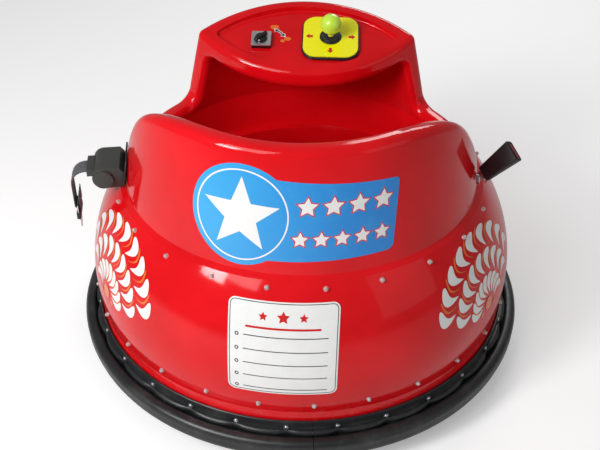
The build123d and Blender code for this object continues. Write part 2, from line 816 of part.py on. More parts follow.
def beltStrap():
    """The strap out of the throat, over and down, and back up round the tongue's bar."""
    seat = bearingPlane(retractorBearing, footRadius, 0)
    across = Plane(origin=seat.origin, x_dir=seat.x_dir, z_dir=-seat.y_dir)
    exitHeight = reelHeight + throatRise
    bendStart = (throatEnd() + strapLead, exitHeight)
    outside, foldTop = strapFall()
    bendEnd = (outside, exitHeight - strapBend)
    inside = outside - 2 * strapFold
    route = [
        Line((throatEnd() - throatReach + strapThickness, exitHeight), bendStart),
        bowed(bendStart, bendEnd, strapBend * (1 - cos(radians(45)))),
        Line(bendEnd, (outside, foldTop)),
        bowed((outside, foldTop), (inside, foldTop), strapFold),
        Line((inside, foldTop), (inside, foldTop + strapTail)),
    ]
    strip = offset(Curve() + route, strapThickness / 2, side=Side.BOTH)
    return extrude(across * make_face(strip), strapWidth / 2, both=True)


def tongue():
    """Chromed tongue hanging in the strap's fold, with its plastic boot."""
    outside, foldTop = strapFall()
    hang = bearingPlane(retractorBearing, footRadius, 0) * Pos(outside - strapFold, 0, foldTop)
    slotTop = strapThickness / 2 - strapFold + strapClearance
    slotLow = -strapFold - strapThickness / 2 - strapClearance
    bootTopZ = slotLow - tongueBar
    shoulder = bootTopZ - bootHeight
    plateTop = slotTop + tongueBar
    slotWidth = strapWidth + 2 * tongueSlack
    plate = Pos(0, 0, plateTop) * Box(tongueThickness, tongueWidth, plateTop - shoulder, align=hanging)
    plate -= Pos(0, 0, slotTop) * Box(2 * bootThickness, slotWidth, slotTop - slotLow, align=hanging)
    plate += Pos(0, 0, shoulder) * Box(tongueThickness, tongueBlade, tongueBladeLength, align=hanging)
    boot = Box(bootThickness, tongueWidth + 2 * bootLip, bootHeight, align=hanging)
    boot = Pos(0, 0, bootTopZ) * fillet(boot.edges().filter_by(Axis.Z), bootEdge) - plate
    return {"tongue_boot": hang * boot, "tongue_plate": hang * plate}


def buckle():
    """Buckle on the rider's right, on a short tab bolted to the foot of the drum."""
    wall = wallPlane(buckleBearing, buckleHeight, seatedGap)
    axis = Vector(*buckleAxis)
    stand = Plane(origin=wall.origin + axis * anchorStart, x_dir=buckleAcross, z_dir=axis)
    anchor = wall * Cylinder(anchorRadius, bracketWall, align=standing)
    anchor += stand * Box(*anchorTab, align=standing)
    root = stand.offset(anchorTab[2])
    end = root.offset(buckleLength)
    body = loft([
        root * RectangleRounded(buckleRootWidth, buckleRootDepth, buckleCorner),
        end * RectangleRounded(buckleWidth, buckleDepth, buckleCorner),
    ])
    wide, tall, deep = buttonSize
    well = Box(wide + 2 * buttonGap, tall + 2 * buttonGap, deep, align=hanging)
    body -= end * Pos(0, buttonOffset) * well
    body -= end * Pos(0, slotOffset) * Box(*slotSize, align=hanging)
    button = end.offset(-deep) * Pos(0, buttonOffset) * Box(wide, tall, deep - buttonSink, align=standing)
    return {"buckle_anchor": anchor, "buckle_body": body, "buckle_button": button}


def buildAll():
    nodes = {
        "body_skirt": bodySkirt(),
        "seat_back": seatBack(),
        "console": console(),
        "cockpit_tub": cockpitTub(),
        "bumper_ring": bumperRing(),
        "lamps": lamps(),
        "chassis_hoop": chassisHoop(),
        "chassis_rails": chassisRails(),
        "cross_members": [crossMember(y) for y in crossPlaces],
        "battery_tray": batteryTray(),
        "batteries": batteries(),
    }
    plates = []
    for side, label in ((-1, "left"), (1, "right")):
        drive = driveSide(side)
        plates.append(drive.pop("drive_plate"))
        nodes.update({f"{name}_{label}": solid for name, solid in drive.items()})
    nodes["drive_plates"] = plates
    for place, label in ((casterY, "front"), (-casterY, "rear")):
        nodes.update({f"caster_{label}_{name}": solid for name, solid in casterPieces(place).items()})
    nodes.update({f"joystick_{name}": solid for name, solid in joystick().items()})
    nodes.update({f"switch_{name}": solid for name, solid in rotarySwitch().items()})
    nodes.update(beltReel())
    nodes["belt_strap"] = beltStrap()
    nodes.update(tongue())
    nodes.update(buckle())
    return nodes


for node, shape in buildAll().items():
    solid = Compound(shape) if isinstance(shape, list) else shape
    export_step(solid, f"parts/{node}.step")
    print(node, round(solid.volume / 1000), "cm3", len(solid.solids()))
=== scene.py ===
import json
from math import asin, atan2, cos, degrees, exp, hypot, pi, radians, sin, sqrt, tan

import bpy
from mathutils import Matrix, Vector


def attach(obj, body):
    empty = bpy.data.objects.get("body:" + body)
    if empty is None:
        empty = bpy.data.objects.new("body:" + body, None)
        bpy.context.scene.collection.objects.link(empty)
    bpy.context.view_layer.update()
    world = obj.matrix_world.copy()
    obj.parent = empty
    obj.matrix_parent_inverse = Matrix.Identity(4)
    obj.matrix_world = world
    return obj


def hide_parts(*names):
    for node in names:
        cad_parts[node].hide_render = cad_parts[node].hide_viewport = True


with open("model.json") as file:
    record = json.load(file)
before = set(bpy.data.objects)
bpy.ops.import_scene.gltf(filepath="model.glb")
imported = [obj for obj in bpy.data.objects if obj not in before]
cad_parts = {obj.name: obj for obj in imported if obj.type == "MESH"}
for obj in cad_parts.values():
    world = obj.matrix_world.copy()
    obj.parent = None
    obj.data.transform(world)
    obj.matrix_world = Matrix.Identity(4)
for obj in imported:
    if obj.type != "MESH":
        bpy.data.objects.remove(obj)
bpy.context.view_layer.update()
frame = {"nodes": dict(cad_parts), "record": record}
nodes = frame["nodes"]
print("frame loaded:", len(nodes), "nodes")

# the car's own sizes, in metres; bearings are degrees from the rear, positive to the rider's right
car = {
    "waist": (0.4875, 0.142),  # radius and height where the dome begins
    "crown": (0.412, 0.427),
    "domeBulge": 0.033,
    "drumFoot": (0.400, 0.435),
    "drumLean": 0.2,
    "trayPoint": (0.126, 0.600),  # y and z on the console's tilted plane
    "trayTilt": 20.0,
    "trayDepth": 0.005,
}


def deselect():
    bpy.ops.object.select_all(action="DESELECT")


def pick(piece):
    deselect()
    piece.select_set(True)
    bpy.context.view_layer.objects.active = piece


def settle(piece, name, smoothAngle):
    pick(piece)
    bpy.ops.object.transform_apply(location=True, rotation=True, scale=True)
    piece.name = name
    piece.data.name = name
    if smoothAngle:
        bpy.ops.object.shade_smooth_by_angle(angle=radians(smoothAngle))
    return piece


def modify(piece, kind, **values):
    pick(piece)
    modifier = piece.modifiers.new(kind.title(), kind)
    for key, value in values.items():
        setattr(modifier, key, value)
    bpy.ops.object.modifier_apply(modifier=modifier.name)


def weld(gap):
    bpy.ops.mesh.select_all(action="SELECT")
    bpy.ops.mesh.remove_doubles(threshold=gap)


def block(name, size, at):
    deselect()
    bpy.ops.mesh.primitive_cube_add(size=1, location=at)
    piece = bpy.context.object
    piece.scale = size
    return settle(piece, name, 35)


def turnedPiece(name, profile, steps, smoothAngle=35, sweep=360):
    deselect()
    bpy.ops.mesh.primitive_plane_add(size=0.001)
    piece = bpy.context.object
    bpy.ops.object.mode_set(mode="EDIT")
    bpy.ops.mesh.select_all(action="SELECT")
    bpy.ops.mesh.merge(type="CENTER")
    bpy.ops.transform.translate(value=(profile[0][0], 0, profile[0][1]))
    for start, end in zip(profile, profile[1:]):
        reach = (end[0] - start[0], 0, end[1] - start[1])
        bpy.ops.mesh.extrude_region_move(TRANSFORM_OT_translate={"value": reach})
    weld(0.00001)
    if sweep < 360:
        bpy.ops.mesh.edge_face_add()
    bpy.ops.mesh.spin(steps=steps, angle=radians(sweep), center=(0, 0, 0), axis=(0, 0, 1))
    weld(0.00002)
    bpy.ops.mesh.normals_make_consistent(inside=False)
    bpy.ops.object.mode_set(mode="OBJECT")
    return settle(piece, name, smoothAngle)


def move(piece, matrix):
    piece.data.transform(matrix)
    piece.data.update()
    return piece


def joined(pieces, name):
    deselect()
    for piece in pieces:
        piece.select_set(True)
    bpy.context.view_layer.objects.active = pieces[0]
    bpy.ops.object.join()
    whole = bpy.context.object
    whole.name = name
    return whole


def repeated(master, places, name):
    twins = []
    for place in places:
        twin = master.copy()
        twin.data = master.data.copy()
        bpy.context.scene.collection.objects.link(twin)
        twins.append(move(twin, place))
    bpy.data.objects.remove(master)
    return joined(twins, name)


def turned(angle, axis="Z"):
    return Matrix.Rotation(radians(angle), 4, axis)


def finishPiece(piece, slot, material=None, body="chassis", replaced=()):
    piece.data.materials.clear()
    piece.data.materials.append(material or materials[slot])
    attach(piece, body)
    if replaced:
        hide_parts(*replaced)


def outward(bearing):
    return Vector((sin(radians(bearing)), -cos(radians(bearing)), 0))


def upward(height):
    return Vector((0, 0, height))


def facing(place, normal):
    z = normal.normalized()
    x = upward(1).cross(z).normalized()
    turn = Matrix((x, z.cross(x), z)).transposed().to_4x4()
    return Matrix.Translation(place) @ turn


def domeCircle():
    (r0, z0), (r1, z1) = car["waist"], car["crown"]
    chord = Vector((r1 - r0, z1 - z0))
    away = Vector((chord.y, -chord.x)).normalized()
    bulge = car["domeBulge"]
    radius = (chord.length ** 2 / 4 + bulge ** 2) / (2 * bulge)
    middle = Vector(((r0 + r1) / 2, (z0 + z1) / 2))
    return middle + away * (bulge - radius), radius


def trayMatrix(x, y, lift):
    tilt = radians(car["trayTilt"])
    py, pz = car["trayPoint"]
    z = pz + (y - py) * tan(tilt) - car["trayDepth"] / cos(tilt)
    return Matrix.Translation((x, y, z)) @ turned(car["trayTilt"], "X") @ Matrix.Translation(upward(lift))


def shaderOf(name):
    material = bpy.data.materials.new(name)
    material.use_nodes = True
    tree = material.node_tree
    return material, tree, tree.nodes["Principled BSDF"]


def setInputs(made, values):
    for socket, value in values.items():
        made.inputs[socket].default_value = value


def node(tree, kind, **values):
    made = tree.nodes.new(kind)
    for key, value in values.items():
        if key in made.inputs:
            made.inputs[key].default_value = value
        else:
            setattr(made, key, value)
    return made


def maths(tree, operation, *values):
    made = node(tree, "ShaderNodeMath", operation=operation)
    for socket, value in zip(made.inputs, values):
        if isinstance(value, float):
            socket.default_value = value
        else:
            tree.links.new(value, socket)
    return made.outputs[0]


def placeIn(tree, stretch=(1, 1, 1), source="Object"):
    coords = node(tree, "ShaderNodeTexCoord")
    mapping = node(tree, "ShaderNodeMapping", Scale=stretch)
    tree.links.new(coords.outputs[source], mapping.inputs["Vector"])
    return mapping.outputs["Vector"]


def axesOf(tree, place):
    split = node(tree, "ShaderNodeSeparateXYZ")
    tree.links.new(place, split.inputs["Vector"])
    return split.outputs


def noise(tree, place, scale, detail=4.0, rough=0.55):
    made = node(tree, "ShaderNodeTexNoise", Scale=scale, Detail=detail, Roughness=rough)
    tree.links.new(place, made.inputs["Vector"])
    return made.outputs["Fac"]


def ramp(tree, value, low, high):
    made = node(tree, "ShaderNodeValToRGB")
    made.color_ramp.elements[0].position = low
    made.color_ramp.elements[1].position = high
    tree.links.new(value, made.inputs["Fac"])
    return made.outputs["Color"]


def blendColours(tree, factor, first, second):
    made = node(tree, "ShaderNodeMix", data_type="RGBA")
    tree.links.new(factor, made.inputs["Factor"])
    for socket, value in ((made.inputs[6], first), (made.inputs[7], second)):
        if isinstance(value, tuple):
            socket.default_value = (*value, 1)
        else:
            tree.links.new(value, socket)
    return made.outputs[2]


def between(tree, value, low, high, start=0.0, end=1.0):
    made = node(tree, "ShaderNodeMapRange")
    setInputs(made, {"From Min": start, "From Max": end, "To Min": low, "To Max": high})
    tree.links.new(value, made.inputs["Value"])
    return made.outputs["Result"]


def bump(tree, shader, height, strength, distance):
    made = node(tree, "ShaderNodeBump", Strength=strength, Distance=distance)
    tree.links.new(height, made.inputs["Height"])
    tree.links.new(made.outputs["Normal"], shader.inputs["Normal"])


gelcoat = {
    "colour": (0.74, 0.004, 0.009),
    "deep": (0.62, 0.002, 0.005),
    "cloud": (5.0, 3),  # patches of the deeper colour
    "cloudEdges": (0.38, 0.68),
    "dust": (0.50, 0.09, 0.08),
    "dustHeights": (0.20, 0.09),  # where the dust begins and where it is thickest
    "dustMost": 0.55,
    "speck": (90, 6, 0.7),
    "speckEdges": (0.50, 0.72),
    "scuff": (4, 8, 0.75),
    "scuffStretch": (9, 9, 60),
    "scuffEdges": (0.52, 0.74),
    "roughness": (0.09, 0.20),
    "peel": (260.0, 2),  # orange-peel ripple of the sprayed mould
    "peelDepth": (0.05, 0.0004),
    "shine": {"Coat Weight": 0.15, "Coat Roughness": 0.05, "IOR": 1.46, "Specular IOR Level": 0.30},
}


def gelcoatMaterial():
    g = gelcoat
    material, tree, shader = shaderOf("redGelcoat")
    place = placeIn(tree)
    cloud = ramp(tree, noise(tree, place, *g["cloud"]), *g["cloudEdges"])
    colour = blendColours(tree, cloud, g["colour"], g["deep"])
    low = between(tree, axesOf(tree, place)["Z"], 0.0, g["dustMost"], *g["dustHeights"])
    speck = ramp(tree, noise(tree, place, *g["speck"]), *g["speckEdges"])
    colour = blendColours(tree, maths(tree, "MULTIPLY", low, speck), colour, g["dust"])
    tree.links.new(colour, shader.inputs["Base Color"])
    scuffs = noise(tree, placeIn(tree, g["scuffStretch"]), *g["scuff"])
    rough = between(tree, ramp(tree, scuffs, *g["scuffEdges"]), *g["roughness"])
    tree.links.new(rough, shader.inputs["Roughness"])
    setInputs(shader, g["shine"])
    bump(tree, shader, noise(tree, place, *g["peel"]), *g["peelDepth"])
    return material


def wornMaterial(name, colour, worn, roughness, spots, edges, sheen, ripple, depth, coat=0.0):
    material, tree, shader = shaderOf(name)
    place = placeIn(tree)
    mask = ramp(tree, noise(tree, place, *spots), *edges)
    tree.links.new(blendColours(tree, mask, colour, worn), shader.inputs["Base Color"])
    tree.links.new(between(tree, noise(tree, place, *sheen), *roughness), shader.inputs["Roughness"])
    shader.inputs["Coat Weight"].default_value = coat
    bump(tree, shader, noise(tree, place, *ripple), *depth)
    return material


def rubberMaterial(name, colour, dust, roughness, grain=700.0):
    return wornMaterial(name, colour, dust, roughness, spots=(14, 8, 0.7), edges=(0.50, 0.80),
                        sheen=(40, 5, 0.6), ripple=(grain, 3), depth=(0.12, 0.0004))


def paintMaterial(name, colour, chip, roughness, spread=24.0, grain=400.0, coat=0.0):
    return wornMaterial(name, colour, chip, roughness, spots=(spread, 8, 0.7), edges=(0.54, 0.78),
                        sheen=(spread * 3, 6, 0.6), ripple=(grain, 3), depth=(0.10, 0.0003), coat=coat)


def filmMaterial(name, colour, faded):
    return wornMaterial(name, colour, faded, (0.18, 0.3), spots=(30, 6, 0.65), edges=(0.45, 0.80),
                        sheen=(90, 5, 0.6), ripple=(500, 2), depth=(0.04, 0.0002), coat=0.3)


def metalMaterial(name, colour, dull, roughness, grain=(1, 1, 1), scale=120.0):
    material, tree, shader = shaderOf(name)
    shader.inputs["Metallic"].default_value = 1.0
    brushed = noise(tree, placeIn(tree, grain), scale, 5, 0.65)
    patches = ramp(tree, noise(tree, placeIn(tree), 30, 5, 0.6), 0.35, 0.75)
    tree.links.new(blendColours(tree, patches, colour, dull), shader.inputs["Base Color"])
    tree.links.new(between(tree, brushed, *roughness), shader.inputs["Roughness"])
    bump(tree, shader, brushed, 0.10, 0.0003)
    return material


rubbers = {
    # each slot's material: name, colour, dusty colour and roughness
    "bumper_rubber": ("bumperRubber", (0.012, 0.013, 0.014), (0.048, 0.050, 0.050), (0.26, 0.48)),
    "drive_tyre": ("tyreRubber", (0.024, 0.024, 0.025), (0.09, 0.085, 0.08), (0.55, 0.85)),
    "caster_tread": ("casterTread", (0.04, 0.04, 0.04), (0.12, 0.115, 0.11), (0.5, 0.8)),
}
paints = {
    # name, colour, worn colour and roughness; some add the spread of the wear, the grain and a clear coat
    "chassis_steel": ("chassisEnamel", (0.03, 0.03, 0.033), (0.10, 0.08, 0.07), (0.35, 0.6)),
    "battery_case": ("batteryCase", (0.06, 0.06, 0.065), (0.13, 0.13, 0.13), (0.4, 0.65)),
    "motor_paint": ("motorEnamel", (0.025, 0.025, 0.028), (0.09, 0.09, 0.09), (0.3, 0.5)),
    "caster_core": ("casterNylon", (0.16, 0.16, 0.165), (0.24, 0.24, 0.24), (0.4, 0.6)),
    "black_plastic": ("blackPlastic", (0.014, 0.014, 0.016), (0.035, 0.035, 0.036), (0.32, 0.5)),
    "yellow_face": ("yellowFacing", (0.94, 0.90, 0.002), (0.90, 0.82, 0.002), (0.22, 0.34), 9.0, 900.0, 0.4),
    "yellow_stem": ("yellowStem", (0.82, 0.76, 0.06), (0.7, 0.64, 0.05), (0.3, 0.45)),
    "lime_knob": ("limeKnob", (0.60, 0.92, 0.07), (0.68, 0.94, 0.10), (0.12, 0.2), 12.0, 500.0, 0.5),
    "switch_black": ("switchBlack", (0.008, 0.008, 0.009), (0.02, 0.02, 0.02), (0.12, 0.25),
                     24.0, 400.0, 0.3),
    "reel_plastic": ("reelPlastic", (0.040, 0.043, 0.038), (0.075, 0.078, 0.07), (0.34, 0.5)),
    "belt_steel": ("beltSteel", (0.012, 0.012, 0.012), (0.06, 0.055, 0.05), (0.35, 0.55)),
    "webbing": ("webbing", (0.04, 0.044, 0.046), (0.07, 0.075, 0.078), (0.6, 0.8)),
    "button_red": ("redButton", (0.42, 0.01, 0.012), (0.34, 0.01, 0.012), (0.25, 0.4)),
    "lamp_lens": ("lampLens", (0.72, 0.70, 0.68), (0.8, 0.78, 0.76), (0.1, 0.2), 24.0, 400.0, 0.5),
}
metals = {
    # name, colour, dull colour and roughness; some add the way of the brushing and its fineness
    "gearbox_alloy": ("castAlloy", (0.55, 0.56, 0.57), (0.36, 0.36, 0.36), (0.42, 0.7), (1, 1, 1), 420.0),
    "shaft_steel": ("turnedSteel", (0.6, 0.6, 0.6), (0.42, 0.42, 0.43), (0.2, 0.4), (40, 1, 1)),
    "hub_alloy": ("hubAlloy", (0.66, 0.66, 0.66), (0.45, 0.45, 0.45), (0.3, 0.55), (1, 1, 1), 300.0),
    "caster_zinc": ("casterZinc", (0.62, 0.64, 0.66), (0.48, 0.50, 0.50), (0.2, 0.42)),
    "switch_face": ("switchFace", (0.80, 0.82, 0.84), (0.7, 0.72, 0.74), (0.26, 0.4), (1, 60, 1)),
    "tongue_chrome": ("tongueChrome", (0.78, 0.78, 0.78), (0.66, 0.66, 0.66), (0.08, 0.2)),
    "zinc_steel": ("zincSteel", (0.60, 0.62, 0.63), (0.45, 0.46, 0.47), (0.22, 0.42)),
}
materials = {"red_shell": gelcoatMaterial()}
for makeMaterial, table in ((rubberMaterial, rubbers), (paintMaterial, paints), (metalMaterial, metals)):
    for slot, values in table.items():
        materials[slot] = makeMaterial(*values)
slotOf = {row["node"]: row["material_slot"] for row in frame["record"]["subparts"]}
for name, cadNode in nodes.items():
    cadNode.data.materials.clear()
    cadNode.data.materials.append(materials[slotOf[name]])
print("materials:", len(materials))


def arcPoints(start, end, bow, steps):
    a, b = Vector(start), Vector(end)
    chord = b - a
    left = Vector((-chord.y, chord.x)).normalized()
    radius = (chord.length ** 2 / 4 + bow ** 2) / (2 * bow)
    centre = (a + b) / 2 + left * (bow - radius)
    first = atan2(a.y - centre.y, a.x - centre.x)
    turn = atan2(b.y - centre.y, b.x - centre.x) - first
    turn = (turn + pi) % (2 * pi) - pi
    angles = [first + turn * k / steps for k in range(1, steps + 1)]
    return [(centre.x + abs(radius) * cos(t), centre.y + abs(radius) * sin(t)) for t in angles]


def sweepPoints(x, y, radius, first, sweep, steps):
    angles = [radians(first + sweep * k / steps) for k in range(steps + 1)]
    return [(x + radius * cos(t), y + radius * sin(t)) for t in angles]


def ringPoints(x, y, radius, steps):
    return sweepPoints(x, y, radius, 0, 360, steps)[:-1]


def roundedOutline(x0, y0, x1, y1, corner, steps=8):
    points = []
    for cx, cy, first in ((x1 - corner, y1 - corner, 0), (x0 + corner, y1 - corner, 90),
                          (x0 + corner, y0 + corner, 180), (x1 - corner, y0 + corner, 270)):
        points += sweepPoints(cx, cy, corner, first, 90, steps)
    return points


def starPoints(x, y, radius, inner=0.5):
    points = []
    for k in range(10):
        reach = radius if k % 2 == 0 else radius * inner
        t = radians(90 + 36 * k)
        points.append((x + reach * cos(t), y + reach * sin(t)))
    return points


def flatShape(name, outlines, cell):
    curve = bpy.data.curves.new(name, "CURVE")
    curve.dimensions = "2D"
    curve.fill_mode = "BOTH"
    for outline in outlines:
        spline = curve.splines.new("POLY")
        spline.points.add(len(outline) - 1)
        for point, (x, y) in zip(spline.points, outline):
            point.co = (x, y, 0, 1)
        spline.use_cyclic_u = True
    piece = bpy.data.objects.new(name, curve)
    bpy.context.scene.collection.objects.link(piece)
    pick(piece)
    bpy.ops.object.convert(target="MESH")
    piece = bpy.context.object
    spots = [vertex.co.copy() for vertex in piece.data.vertices]
    bpy.ops.object.mode_set(mode="EDIT")
    for axis in (0, 1) if cell else ():
        low, high = min(c[axis] for c in spots), max(c[axis] for c in spots)
        normal = Vector((axis == 0, axis == 1, 0))
        for k in range(1, int((high - low) / cell) + 1):
            bpy.ops.mesh.select_all(action="SELECT")
            bpy.ops.mesh.bisect(plane_co=normal * (low + k * cell), plane_no=normal)
    bpy.ops.object.mode_set(mode="OBJECT")
    return piece


def onDrum(bearing, height, u, v, lift):
    lean = car["drumLean"]
    z = height + v / sqrt(1 + lean ** 2)
    radius = car["drumFoot"][0] - (z - car["drumFoot"][1]) * lean
    away = outward(bearing + degrees(u / radius))
    return away * radius + upward(z) + (away + upward(lean)).normalized() * lift


def onDome(bearing, height, u, v, lift):
    centre, radius = domeCircle()
    rise = asin((height - centre.y) / radius) + v / radius
    reach = centre.x + radius * cos(rise)
    away = outward(bearing + degrees(u / reach))
    normal = away * cos(rise) + upward(sin(rise))
    return away * reach + upward(centre.y + radius * sin(rise)) + normal * lift


def stick(name, outlines, film, surface, place, lift, thick, cell=0.008):
    piece = flatShape(name, outlines, cell)
    for vertex in piece.data.vertices:
        vertex.co = surface(*place, vertex.co.x, vertex.co.y, lift)
    piece.data.update()
    pick(piece)
    bpy.ops.object.mode_set(mode="EDIT")
    weld(0.00001)
    bpy.ops.mesh.normals_make_consistent(inside=False)
    bpy.ops.object.mode_set(mode="OBJECT")
    face = piece.data.polygons[0]
    outside = Vector((face.center.x, face.center.y, 0.05))
    if face.normal.dot(outside) < 0:
        piece.data.flip_normals()
    modify(piece, "SOLIDIFY", thickness=thick, offset=1.0)
    settle(piece, name, 40)
    finishPiece(piece, *film)


whiteFilm = ("lamp_lens", filmMaterial("whiteFilm", (0.84, 0.84, 0.83), (0.79, 0.785, 0.77)))
redFilm = ("button_red", filmMaterial("redFilm", (0.62, 0.012, 0.015), (0.5, 0.012, 0.014)))
darkFilm = ("switch_black", filmMaterial("darkFilm", (0.03, 0.03, 0.034), (0.07, 0.07, 0.07)))
orangeFilm = ("yellow_face", filmMaterial("orangeFilm", (0.80, 0.17, 0.02), (0.70, 0.13, 0.02)))


bumper = {
    "seam": 5.0,  # bearing of the butt joint
    "seamWidth": 0.0012,
    "screws": 29,
    "screwHeight": 0.1015,
    "screwGap": 0.0001,
    "screwTwist": 37,  # degrees from one cross to the next
    "stepsPerScrew": 20,
    # the section, radius and height: lip, bead, groove, rounded face, step, ridge and heel
    "lip": ((0.4903, 0.119), (0.4913, 0.120), (0.4931, 0.120), (0.4943, 0.1188), (0.4943, 0.109),
            (0.4943, 0.099), (0.4949, 0.098)),
    "bead": (0.5033, 0.084),
    "groove": ((0.5037, 0.081), (0.5047, 0.080), (0.5063, 0.080)),
    "face": ((0.5183, 0.091), (0.532, 0.074)),
    "step": ((0.532, 0.068), (0.532, 0.0626), (0.5314, 0.062), (0.5299, 0.0599)),
    "ridge": ((0.5295, 0.0595), (0.514, 0.040)),
    "heel": ((0.4963, 0.040), (0.4903, 0.046)),
    "bow": 0.0055,
    "flange": 0.4943,  # radius of the lip's outer side
    "margin": (0.0002, 0.0005),  # what stays untouched beside the flange and above the groove
    "swell": 0.0012,  # how far the bead waves between two screws
    "pinch": 0.0042,  # how deep the bead is drawn in at a screw
    "pinchWidth": 1.5,  # degrees
    "pinchDrop": 0.6,
}


def bumperSection():
    b = bumper
    edge, wide = b["face"]
    section = list(b["lip"]) + arcPoints(b["lip"][-1], b["bead"], b["bow"], 8) + list(b["groove"])
    section += arcPoints(b["groove"][-1], edge, b["bow"], 6)
    section += arcPoints(edge, wide, b["bow"], 7) + list(b["step"])
    return section + arcPoints(*b["ridge"], b["bow"], 7) + list(b["heel"]) + [section[0]]


def bumperPiece():
    b = bumper
    gap = degrees(b["seamWidth"] / b["flange"])
    steps = b["screws"] * b["stepsPerScrew"]
    ring = turnedPiece("bumper_rubber_ring", bumperSection(), steps, 32, 360 - gap)
    pitch = 360 / b["screws"]
    outside, grooveFloor = b["groove"][-1]
    beside, above = b["margin"]
    for vertex in ring.data.vertices:
        x, y, z = vertex.co
        radius, along = hypot(x, y), atan2(y, x)
        if b["flange"] + beside < radius < outside and z > grooveFloor + above:
            phase = (degrees(along) % 360 + gap / 2) / pitch % 1 - 0.5
            pull = b["pinch"] * exp(-(phase * pitch / b["pinchWidth"]) ** 2)
            share = min(1, (radius - b["flange"]) / (b["bead"][0] - b["flange"]))
            radius -= (b["swell"] * cos(phase * 2 * pi) + pull) * share
            z -= pull * b["pinchDrop"] * (1 - share)
            vertex.co = (radius * cos(along), radius * sin(along), z)
    ring.data.update()
    move(ring, turned(b["seam"] - 90 + gap / 2))
    finishPiece(ring, "bumper_rubber", replaced=["bumper_ring"])


screw = {
    "radius": 0.0046,
    "height": 0.0024,
    "dome": ((0, 0), (1, 0), (1.02, 0.35), (0.9, 0.75), (0.6, 0.97), (0, 1)),  # shares of radius and height
    "cross": (0.0052, 0.0011, 0.0016),
    "washer": (0.0066, 0.0007),
}


def screwHead():
    s = screw
    dome = [(s["radius"] * r, s["height"] * z) for r, z in s["dome"]]
    head = turnedPiece("head", dome, 20, 40)
    for turn in (0, 90):
        blade = block("blade", s["cross"], upward(s["height"]))
        move(blade, turned(turn))
        modify(head, "BOOLEAN", object=blade, operation="DIFFERENCE", solver="EXACT")
        bpy.data.objects.remove(blade)
    wide, thick = s["washer"]
    disc = turnedPiece("disc", [(0, 0), (wide, 0), (wide, thick), (0, thick)], 20)
    move(head, Matrix.Translation(upward(thick)))
    return joined([head, disc], "screw")


def bumperScrews():
    b = bumper
    places = []
    for k in range(b["screws"]):
        away = outward(b["seam"] + (k + 0.5) * 360 / b["screws"])
        spot = away * (b["flange"] + b["screwGap"]) + upward(b["screwHeight"])
        places.append(facing(spot, away) @ turned(b["screwTwist"] * k))
    whole = repeated(screwHead(), places, "bumper_screws")
    finishPiece(settle(whole, "bumper_screws", 40), "zinc_steel")


bumperPiece()
bumperScrews()
print("bumper and screws")


lamp = {
    "flange": (0.0055, 0.0012),
    "flangeEdge": (0.0003, 0.00048),
    "body": (0.0043, 0.0044),
    "tip": 0.0072,
    "tipBow": -0.0009,
    "sunk": 0.0006,
    "rows": ((0.165, 27, 5.4), (0.416, 23, 8.6)),  # height, number of lamps and bearing of the first
}


def clearLensMaterial():
    material, tree, shader = shaderOf("clearLens")
    haze = ramp(tree, noise(tree, placeIn(tree), 160, 3), 0.35, 0.7)
    colour = blendColours(tree, haze, (0.86, 0.84, 0.83), (0.72, 0.66, 0.65))
    tree.links.new(colour, shader.inputs["Base Color"])
    tree.links.new(between(tree, haze, 0.04, 0.14), shader.inputs["Roughness"])
    setInputs(shader, {"Transmission Weight": 0.55, "Coat Weight": 0.6})
    return material


def lampPieces():
    wide, thick = lamp["flange"]
    inset, side = lamp["flangeEdge"]
    radius, shoulder = lamp["body"]
    profile = [(0, 0), (wide, 0), (wide, thick - side), (wide - inset, thick), (radius, thick)]
    profile.append((radius, shoulder))
    profile += arcPoints((radius, shoulder), (0, lamp["tip"]), lamp["tipBow"], 5)
    places = []
    for height, count, start in lamp["rows"]:
        for k in range(count):
            bearing = start + k * 360 / count
            foot = onDome(bearing, height, 0, 0, -lamp["sunk"])
            places.append(facing(foot, onDome(bearing, height, 0, 0, lamp["tip"]) - foot))
    whole = repeated(turnedPiece("lens", profile, 18, 50), places, "lamp_lenses")
    finishPiece(settle(whole, "lamp_lenses", 50), "lamp_lens", clearLensMaterial(), replaced=["lamps"])


lampPieces()
print("lamps")


sticker = {
    "place": (-16.0, 0.548),  # bearing and height of the disc's middle
    "radius": 0.105,
    "end": 0.3096,  # right end of the band, from the disc's middle
    "top": (0.0816, 0.0653),  # the band's upper edge at the disc and at the end
    "bottom": (-0.0877, -0.0836),
    "corner": 0.012,
    "ring": (0.0945, 0.0915),
    "star": (0.080, 0.42),
    # height of a row, number of stars, their size, the first one's place and the pitch
    "rows": ((0.028, 4, 0.0205, 0.128, 0.0495), (-0.040, 5, 0.0165, 0.118, 0.0405)),
    "outline": (0.0042, 0.52),
    # lift from the shell, thickness and, where it isn't the usual one, the size of a cell
    "sheet": (0.0003, 0.0003),
    "edging": (0.0006, 0.00012, 0.01),
    "print": (0.0007, 0.00015, 0.01),
    "litAndShadedBlues": ((0.032, 0.38, 0.76), (0.014, 0.24, 0.68)),  # painted shade: lit blue on the left, darker shaded blue on the right
    # x range over which the painted shade grades from the left to the right
    "paintedShadeSpan": (-0.20, 0.12),
    "faded": (0.04, 0.34, 0.74),
}


def stickerOutline():
    s = sticker
    radius, corner = s["radius"], s["corner"]
    first = degrees(asin(s["top"][0] / radius))
    last = degrees(asin(s["bottom"][0] / radius)) + 360
    points = sweepPoints(0, 0, radius, first, last - first, 64)
    points += sweepPoints(s["end"] - corner, s["bottom"][1] + corner, corner, 270, 90, 8)
    return points + sweepPoints(s["end"] - corner, s["top"][1] - corner, corner, 0, 90, 8)


